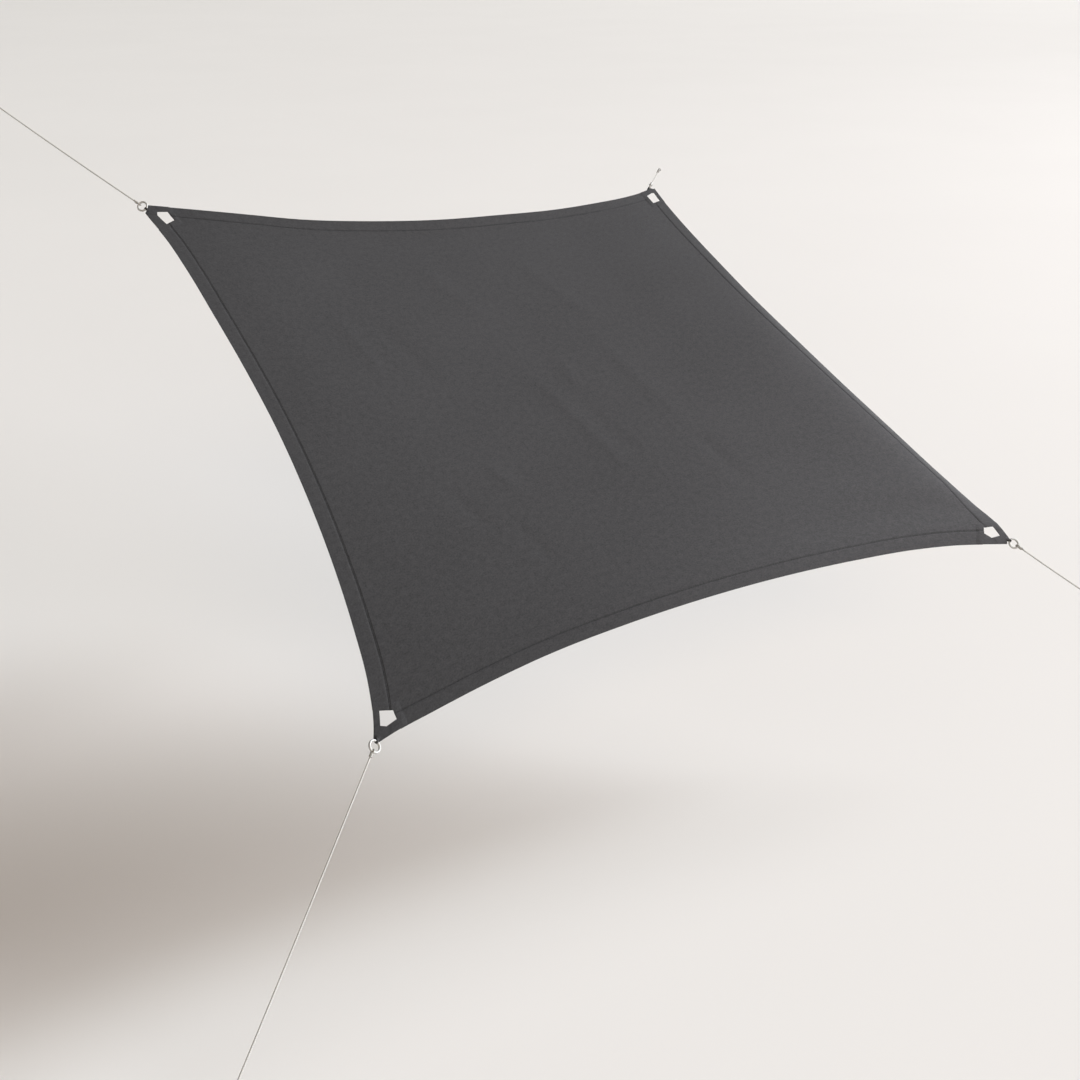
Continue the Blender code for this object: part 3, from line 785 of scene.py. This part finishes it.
def build_eye(corner):
    """A steel eye whose neck flares into a round flange with a softened rim."""
    name = "eye_steel_" + corner
    middle, heading, normal = eye_frame(corner)
    mesh = torus_mesh(name, EYE_RADIUS, EYE_WIRE / 2 - EYE_INSET, 64, 18)
    mesh.transform(axes_at(middle, normal, heading))
    bm = bmesh.new()
    bm.from_mesh(mesh)
    front = FLANGE_BACK - FLANGE_DEPTH
    profile = [
        (0.0, EYE_RADIUS), (STEM_RADIUS * 0.9, EYE_RADIUS), (STEM_RADIUS, EYE_RADIUS + 0.0022),
        (STEM_RADIUS, front - 0.0016), (STEM_RADIUS + 0.0004, front - 0.0006),
        (STEM_RADIUS + 0.0014, front), (FLANGE_RADIUS - 0.0012, front + 0.0001),
        (FLANGE_RADIUS - 0.0004, front + 0.0004), (FLANGE_RADIUS, front + 0.0011),
        (FLANGE_RADIUS, FLANGE_BACK - 0.0003), (FLANGE_RADIUS - 0.0003, FLANGE_BACK),
        (0.0, FLANGE_BACK)]
    lathe_into(bm, profile, 40, axes_at(middle, heading, normal))
    bmesh.ops.recalc_face_normals(bm, faces=bm.faces)
    bm.to_mesh(mesh)
    bm.free()
    mesh.shade_smooth()
    mesh.set_sharp_from_angle(angle=radians(45))
    item = add_object(name, mesh, EYE_LOOK)
    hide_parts("wall_eye_" + corner)
    return item


# ---- cords with their fittings

def build_cord(corner):
    """A cord, the knots at its two ends, and the ring and wall eye that they hold."""
    middle, pull, normal = ring_frame(corner)
    eye, _, eye_normal = eye_frame(corner)
    build_ring(corner)
    wall_eye = build_eye(corner)
    near_knot = build_knot("ring", corner, middle + pull * RING_RADIUS, normal.cross(pull),
                           pull, RING_BIGHT)
    far_knot = build_knot("eye", corner, eye - pull * EYE_RADIUS, eye_normal.cross(pull),
                          -pull, EYE_BIGHT)
    route, length = cord_route(corner)
    name = "twisted_cord_" + corner
    mesh = rope_mesh(name, route, CORD / 2, ROPE_PITCH, ROPE_PITCH / 16, around=18)
    rope = add_object(name, mesh, CORD_LOOK)
    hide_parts("cord_" + corner)


# ---- cloth

def split_along(bm, faces, start, end):
    direction = (end - start).normalized()
    across = Vector((-direction.y, direction.x, 0.0))
    touched = {edge for face in faces for edge in face.edges}
    points = {vert for face in faces for vert in face.verts}
    bmesh.ops.bisect_plane(bm, geom=list(faces) + list(touched) + list(points),
                           plane_co=start, plane_no=across, dist=0.0001)


def side_of(point, start, end):
    return (end - start).cross(point - start).z


def same_side(point, inner, lines):
    """Is a point on the same side of every line as an inner one?"""
    return all(side_of(point, a, b) * side_of(inner, a, b) > 0 for a, b in lines)


def window_points(corner, setback):
    """A window's outline, and its two sides towards the cloth, moved out by setback."""
    points = [Vector((*point, 0.0)) for point in FITTINGS[corner]["window"]]
    side_far, inner, end_far = points[:3]
    middle = sum(points, Vector()) / len(points)
    moved = []
    for start, end in ((side_far, inner), (inner, end_far)):
        out = Vector((-(end - start).y, (end - start).x, 0.0)).normalized()
        if out.dot(start - middle) < 0:
            out.negate()
        moved.append((start + out * setback, end + out * setback))
    return points, moved


def plan_to_sheet(corner, point):
    """A place given from a corner's tip, as a place on the sheet, or the other way round."""
    x = point.x if corner.endswith("left") else SIDE_X - point.x
    y = point.y if corner.startswith("upper") else SIDE_Y - point.y
    return Vector((x, y, 0.0))


def flat_grid(across, down):
    bm = bmesh.new()
    rows = [[bm.verts.new((x, y, 0.0)) for x in across] for y in down]
    for low, high in zip(rows, rows[1:]):
        for k in range(len(across) - 1):
            bm.faces.new((low[k], low[k + 1], high[k + 1], high[k]))
    return bm


def grid_lines(length):
    """Places of the grid's lines: close together at the hem, even beyond it."""
    inner = length / 2 - HEM_LINES[-1]
    steps = round(inner / CLOTH_GRID)
    half = list(HEM_LINES) + [HEM_LINES[-1] + inner * i / steps for i in range(1, steps + 1)]
    return half + [length - x for x in reversed(half[:-1])]


def crease_height(x, y):
    """Height of the soft folds at a place on the flat sheet."""
    total = 0.0
    for start, end, width, depth in CREASES:
        ax, ay = start
        dx, dy = end[0] - ax, end[1] - ay
        long = (dx * dx + dy * dy) ** 0.5
        along = ((x - ax) * dx + (y - ay) * dy) / long
        across = ((x - ax) * -dy + (y - ay) * dx) / long
        if -width < along < long + width and abs(across) < 4 * width:
            run = ease((along + width) / (0.3 * long + width)) * ease(
                (long + width - along) / (0.3 * long + width))
            total += depth * run * bell(across / width)
    return total


def seam_dip(from_edge):
    return -SEAM_DIP * sum(bell((from_edge - row) / SEAM_HALF) for row in STITCH_ROWS)


def edge_distance(x, y):
    return min(x, y, SIDE_X - x, SIDE_Y - y)


def faces_near(bm, place, reach):
    return [face for face in bm.faces if (face.calc_center_median() - place).length < reach]


def trim_corner(bm, corner):
    """The cloth ends a little outside the window, where only the webbing goes on."""
    tip = plan_to_sheet(corner, Vector())
    sides = [(plan_to_sheet(corner, a), plan_to_sheet(corner, b))
             for a, b in window_points(corner, CLOTH_SETBACK)[1]]
    for start, end in sides:
        split_along(bm, faces_near(bm, tip, TRIM_REACH), start, end)
    beyond = [face for face in faces_near(bm, tip, TRIM_REACH)
              if same_side(face.calc_center_median(), tip, sides)]
    bmesh.ops.delete(bm, geom=beyond, context="FACES")


def on_sail(x, y):
    return sail_point(x / SIDE_X, y / SIDE_Y)


def up_at(x, y):
    return sail_normal(x / SIDE_X, y / SIDE_Y)


def to_surface(bm, height):
    """Keep each point's flat place as its UV, and put it on the sail."""
    layer = bm.loops.layers.uv.new("flat")
    for face in bm.faces:
        for loop in face.loops:
            loop[layer].uv = loop.vert.co.xy
    for vert in bm.verts:
        x, y = vert.co.xy
        lift = height(x, y)
        vert.co = on_sail(x, y) + (up_at(x, y) * lift if abs(lift) > 1e-6 else Vector())


def layered_object(name, bm, weights, thickness, offset, rim_width):
    """A sheet with a share of its full thickness at each point, and rounded cut edges."""
    face_up(bm)
    item = add_object(name, mesh_of(name, bm), CLOTH_LOOK)
    item.data.shade_smooth()
    layers = item.vertex_groups.new(name="layers")
    for index, weight in enumerate(weights):
        layers.add([index], weight, "REPLACE")
    shell = item.modifiers.new("thickness", "SOLIDIFY")
    shell.thickness = thickness
    shell.offset = offset
    shell.vertex_group = "layers"
    rim = item.modifiers.new("rim", "BEVEL")
    rim.width = rim_width
    rim.segments = 2
    rim.angle_limit = radians(60)
    return item


def build_cloth():
    bm = flat_grid(grid_lines(SIDE_X), grid_lines(SIDE_Y))
    for corner in FITTINGS:
        trim_corner(bm, corner)
    bmesh.ops.remove_doubles(bm, verts=bm.verts, dist=0.0003)
    weights = [1.0 if edge_distance(*vert.co.xy) < HEM_END + 0.0002 else CLOTH / HEM_CLOTH
               for vert in bm.verts]
    to_surface(bm, lambda x, y: crease_height(x, y) + seam_dip(edge_distance(x, y)))
    item = layered_object("hemmed_cloth", bm, weights, HEM_CLOTH, -1.0, CLOTH_RIM)
    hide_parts("sail_cloth")
    return item


# ---- stitches

class Stitches:
    """Short raised lengths of thread, gathered into one mesh."""

    def __init__(self):
        self.points, self.faces = [], []

    def add(self, middle, along, up):
        """One stitch: a short tube whose two ends dip into the cloth."""
        across = along.cross(up).normalized()
        half, thick, sides = STITCH / 2, THREAD / 2, THREAD_SIDES
        first = len(self.points)
        for reach in (-0.62, 0.62):
            for k in range(sides):
                a = tau * k / sides + pi / 2
                self.points.append(middle + along * (half * reach)
                                   + across * (cos(a) * thick) + up * (sin(a) * thick))
        self.points.append(middle - along * half - up * thick * 0.8)
        self.points.append(middle + along * half - up * thick * 0.8)
        far, start, end = first + sides, first + 2 * sides, first + 2 * sides + 1
        for k in range(sides):
            n = (k + 1) % sides
            self.faces.append((first + k, first + n, far + n, far + k))
            self.faces.append((start, first + n, first + k))
            self.faces.append((end, far + k, far + n))

    def run(self, places, height, allowed, under=False):
        """Stitches along a line of flat places on the sheet, where they are allowed."""
        line, _ = resample([(*place, 0.0) for place in places], STITCH_STEP)
        for start, end in zip(line, line[1:]):
            x, y = (start[:2] + end[:2]) / 2
            if not allowed(x, y):
                continue
            up = up_at(x, y)
            heading = (on_sail(*end[:2]) - on_sail(*start[:2])).normalized()
            self.add(on_sail(x, y) + up * height(x, y), heading, -up if under else up)

    def build(self, name, look):
        return add_object(name, mesh_from(name, self.points, self.faces), look)


def webbing_part(place, laps):
    """How much of its full thickness the webbing has at a place: it thins at its inner edges."""
    inside = min(abs(side_of(place, a, b)) / (b - a).length for a, b in laps)
    return WEBBING_THIN + (1 - WEBBING_THIN) * ease(inside / WEBBING_TAPER)


def webbing_levels(corner, x, y):
    """Heights of the webbing's two faces; its inner edges are laid into the cloth."""
    place = plan_to_sheet(corner, Vector((x, y, 0.0)))
    part = webbing_part(place, window_points(corner, WEBBING_LAP)[1])
    base = WEBBING_LIFT - WEBBING_SINK * (1 - part) + seam_dip(edge_distance(x, y))
    return base, base + WEBBING * part


def corner_over(x, y, margin):
    """The corner whose window, wider by a margin, has a flat place over it or towards its tip."""
    for corner in FITTINGS:
        place = plan_to_sheet(corner, Vector((x, y, 0.0)))
        if same_side(place, Vector(), window_points(corner, margin)[1]):
            return corner
    return None


def webbing_height(x, y):
    """Height of a corner's webbing at a flat place, or None beside it."""
    corner = corner_over(x, y, WEBBING_LAP)
    return webbing_levels(corner, x, y)[1] if corner else None


def hem_stitches():
    """Two rows along each hem, on both faces, over the webbing as far as the windows."""
    stitches = Stitches()

    def top(x, y):
        webbing = webbing_height(x, y)
        if webbing is not None:
            return webbing + THREAD * 0.15
        return crease_height(x, y) - SEAM_DIP + THREAD * 0.25

    def below(x, y):
        return crease_height(x, y) - SEAM_DIP - HEM_CLOTH - THREAD * 0.1

    for row in STITCH_ROWS:
        low, right, far = row, SIDE_X - row, SIDE_Y - row
        for start, end in (((low, low), (right, low)), ((right, low), (right, far)),
                           ((right, far), (low, far)), ((low, far), (low, low))):
            stitches.run((start, end), top, lambda x, y: not corner_over(x, y, OVER_WINDOW))
            stitches.run((start, end), below,
                         lambda x, y: not corner_over(x, y, UNDER_WINDOW), under=True)
    return stitches.build("hem_stitching", THREAD_LOOK)


# ---- webbing corners

def hollow_tip(bm, start, end):
    """The cut across the tip curves in between its two ends."""
    chord = end - start
    inward = Vector((-chord.y, chord.x, 0.0)).normalized()
    if inward.dot(Vector((0.1, 0.1, 0.0)) - start) < 0:
        inward.negate()
    for vert in bm.verts:
        away = (vert.co - start).dot(inward)
        x = (vert.co - start).dot(chord) / chord.length_squared
        if away < TIP_HOLLOW_REACH and -0.2 < x < 1.2:
            bow = max(0.0, 1 - (2 * x - 1) ** 2)
            sink = TIP_HOLLOW * bow * (1 - away / TIP_HOLLOW_REACH)
            vert.co += inward * sink


def build_webbing(corner):
    """A corner's webbing, cut to its outline and window while it is flat."""
    window, laps = window_points(corner, WEBBING_LAP)
    blunt = [Vector((*point, 0.0)) for point in FITTINGS[corner]["blunt"]]
    seam = [line for line in HEM_LINES if 0.064 < line < 0.080]
    plain = [WEBBING_GRID * i for i in range(30)]
    lines = sorted(seam + [line for line in plain if min(abs(line - x) for x in seam) > 0.003])
    bm = flat_grid(lines, lines)
    inside = window[1]
    for start, end in (*laps, blunt):
        split_along(bm, list(bm.faces), start, end)
        kept_side = side_of(inside, start, end)
        outside = [face for face in bm.faces
                   if side_of(face.calc_center_median(), start, end) * kept_side < 0]
        bmesh.ops.delete(bm, geom=outside, context="FACES")
    middle = sum(window, Vector()) / len(window)
    sides = list(zip(window, window[1:] + window[:1]))
    for start, end in sides:
        split_along(bm, faces_near(bm, middle, WINDOW_REACH), start, end)
    opened = [face for face in bm.faces if same_side(face.calc_center_median(), middle, sides)]
    bmesh.ops.delete(bm, geom=opened, context="FACES")
    bmesh.ops.remove_doubles(bm, verts=bm.verts, dist=0.0004)
    hollow_tip(bm, *blunt)
    weights = [webbing_part(vert.co, laps) for vert in bm.verts]
    for vert in bm.verts:
        vert.co = plan_to_sheet(corner, vert.co)
    to_surface(bm, lambda x, y: webbing_levels(corner, x, y)[0])
    item = layered_object("webbing_" + corner, bm, weights, WEBBING, 1.0, WEBBING_RIM)
    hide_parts("corner_" + corner)


def strap_line():
    """The strap's middle line: how far out past the wire's middle, and how high."""
    bend = RING_WIRE / 2 + RING_PLAY + WEBBING / 2 + STRAP_PLAY
    flat = WEBBING + STRAP_PLAY
    leg_steps, bend_steps = 18, 16
    upper = []
    for i in range(leg_steps + 1):
        back = STRAP_LEG * i / leg_steps
        upper.append((-back, bend + (flat - bend) * ease(back / STRAP_CLOSE)))
    lower = [(out, -level) for out, level in reversed(upper)]
    turns = [-pi / 2 + pi * i / bend_steps for i in range(1, bend_steps)]
    return np.array(lower + [(bend * cos(turn), bend * sin(turn)) for turn in turns] + upper)


def strap_section():
    """The strap's cut: two flat faces and two rounded edges."""
    thick = WEBBING / 2
    rounding = thick * 0.8
    middle = TONGUE_WIDTH / 2 - rounding
    angles = [-pi / 2 + pi * k / 6 for k in range(7)]
    return [(side * middle + side * rounding * cos(angle), side * thick * sin(angle))
            for side in (1, -1) for angle in angles]


def build_strap(corner):
    """The folded strap that holds the ring: flat on both faces of the tip, round at the wire."""
    middle, pull, normal = ring_frame(corner)
    wire = middle - pull * RING_RADIUS
    turn = radians(FITTINGS[corner]["turn"])
    line, section = strap_line(), strap_section()
    headings = np.gradient(line, axis=0)
    headings /= np.linalg.norm(headings, axis=1)[:, None]
    points = []
    for (out, level), heading in zip(line, headings):
        unturn = Matrix.Rotation(-turn * ease(-out / STRAP_UNTURN), 3, pull)
        lift = unturn @ normal
        width = unturn @ normal.cross(pull)
        thick_way = pull * -heading[1] + lift * heading[0]
        centre = wire + pull * out + lift * level
        spread = ease((-out - STRAP_NECK) / STRAP_SPREAD)
        gather = STRAP_WAIST + (1 - STRAP_WAIST) * spread
        for across, rise in section:
            points.append(centre + width * (across * gather) + thick_way * rise)
    rows = [0.0]
    for before, after in zip(line, line[1:]):
        rows.append(rows[-1] + float(np.linalg.norm(after - before)))
    places = [across + TONGUE_WIDTH / 2 for across, _ in section]
    faces, uvs = tube(rows, places + places[:1])
    count = len(section)
    for row, order in ((0, -1), (len(line) - 1, 1)):
        faces.append(tuple(row * count + k for k in range(count))[::order])
        uvs += [(rows[row], place) for place in places][::order]
    name = "strap_" + corner
    mesh = mesh_from(name, points, faces, uvs)
    mesh.set_sharp_from_angle(angle=radians(50))
    item = add_object(name, mesh, WEBBING_LOOK)


def webbing_stitches():
    """Seams round each window and along the webbing's two inner edges."""
    stitches = Stitches()
    for corner in FITTINGS:
        _, near = window_points(corner, WINDOW_SEAM)
        _, far = window_points(corner, WEBBING_LAP - EDGE_SEAM)
        for a, b in (*near, *far):
            ends = [plan_to_sheet(corner, point).xy[:] for point in (a, b)]
            stitches.run(ends, lambda x, y: webbing_height(x, y) + THREAD * 0.2,
                         lambda x, y: webbing_height(x, y) is not None)
    stitches.build("corner_stitching", CORNER_THREAD_LOOK)


# ---- studio

def build_floor():
    """A pale floor that runs out of sight on every side."""
    low = CORNERS["lower_left"].z - FLOOR_DROP
    bm = bmesh.new()
    lathe_into(bm, [(radius, 0.0) for radius in FLOOR_RADII], 96,
               Matrix.Translation((*STAGE_MIDDLE.xy, low)))
    face_up(bm)
    made, tree, surface = shader("pale_paper", {"Roughness": 0.95, "Specular IOR Level": 0.05})
    place = node(tree, "TexCoord").outputs["Object"]
    grain = noise(tree, place, 0.35, 2.0)
    paper = ramp(tree, grain, [(0.3, (0.800, 0.780, 0.760)), (0.7, (0.810, 0.790, 0.770))])
    tree.links.new(paper, surface.inputs["Base Color"])
    floor = add_object("studio_floor", mesh_of("studio_floor", bm), made, rides=False)


# Name, kind, bearing and height in degrees, distance, colour, energy, and softness: a sun's
# angle in degrees, or a point's radius in metres
LAMPS = (
    ("key_high", "SUN", 2.0, 24.0, 15.0, (0.856, 0.931, 1.0), 2.37, 16.0),
    ("key_low", "SUN", -5.0, 19.0, 15.0, (0.941, 1.0, 0.996), 1.61, 16.0),
    ("side_front", "POINT", -50.0, 12.0, 30.0, (1.0, 0.946, 0.977), 16100.0, 4.2),
    ("side_right", "POINT", -15.0, 12.0, 30.0, (0.987, 0.958, 1.0), 11800.0, 4.2),
    ("side_back", "POINT", 25.0, 35.0, 90.0, (0.975, 0.964, 1.0), 48400.0, 12.6),
    ("near_right", "POINT", -40.0, 30.0, 3.5, (1.0, 0.975, 1.0), 440.0, 0.6),
    ("fill", "SUN", 250.0, 25.0, 15.0, (1.0, 0.764, 0.525), 0.95, 50.0),
)


def add_lamp(name, kind, azimuth, elevation, distance, colour, energy, softness):
    """A lamp that shines on the sail."""
    turn, rise = radians(azimuth), radians(elevation)
    away = Vector((cos(rise) * cos(turn), cos(rise) * sin(turn), sin(rise)))
    light = bpy.data.lights.new(name, kind)
    light.color = colour
    light.energy = energy
    if kind == "SUN":
        light.angle = radians(softness)
    else:
        light.shadow_soft_size = softness
    lamp = bpy.data.objects.new(name, light)
    bpy.context.scene.collection.objects.link(lamp)
    lamp.location = STAGE_MIDDLE + away * distance
    lamp.rotation_mode = "QUATERNION"
    lamp.rotation_quaternion = away.to_track_quat("Z", "Y")
    return lamp


def build_lights():
    """Broad soft lamps low at the right, a weak warm fill from the front, a small lamp for the
    cloth near its right edge, and a room that is pale near the horizon."""
    lamps = {row[0]: add_lamp(*row) for row in LAMPS}
    fabrics = bpy.data.collections.new("fabrics")
    for item in bpy.data.objects:
        if item.name.startswith(("hemmed_cloth", "hem_stitching", "webbing_", "strap_",
                                 "corner_stitching")):
            fabrics.objects.link(item)
    lamps["near_right"].light_linking.receiver_collection = fabrics
    world = bpy.data.worlds.new("studio")
    bpy.context.scene.world = world
    world.use_nodes = True
    tree = world.node_tree
    height = node(tree, "SeparateXYZ", {"Vector": node(tree, "TexCoord").outputs["Generated"]})
    sky = ramp(tree, height.outputs["Z"], [
        (0.30, (0.97, 0.95, 0.92)), (0.42, (0.24, 0.22, 0.20)), (0.75, (0.08, 0.078, 0.075))])
    tree.links.new(sky, tree.nodes["Background"].inputs["Color"])


# ---- the scene

for corner in FITTINGS:
    build_cord(corner)
cloth = build_cloth()
hem_thread = hem_stitches()
for corner in FITTINGS:
    build_webbing(corner)
    build_strap(corner)
webbing_stitches()
build_floor()
build_lights()
view = bpy.context.scene.view_settings
view.view_transform = "Standard"
view.look = "None"
view.exposure = 0.0
view.gamma = 1.0
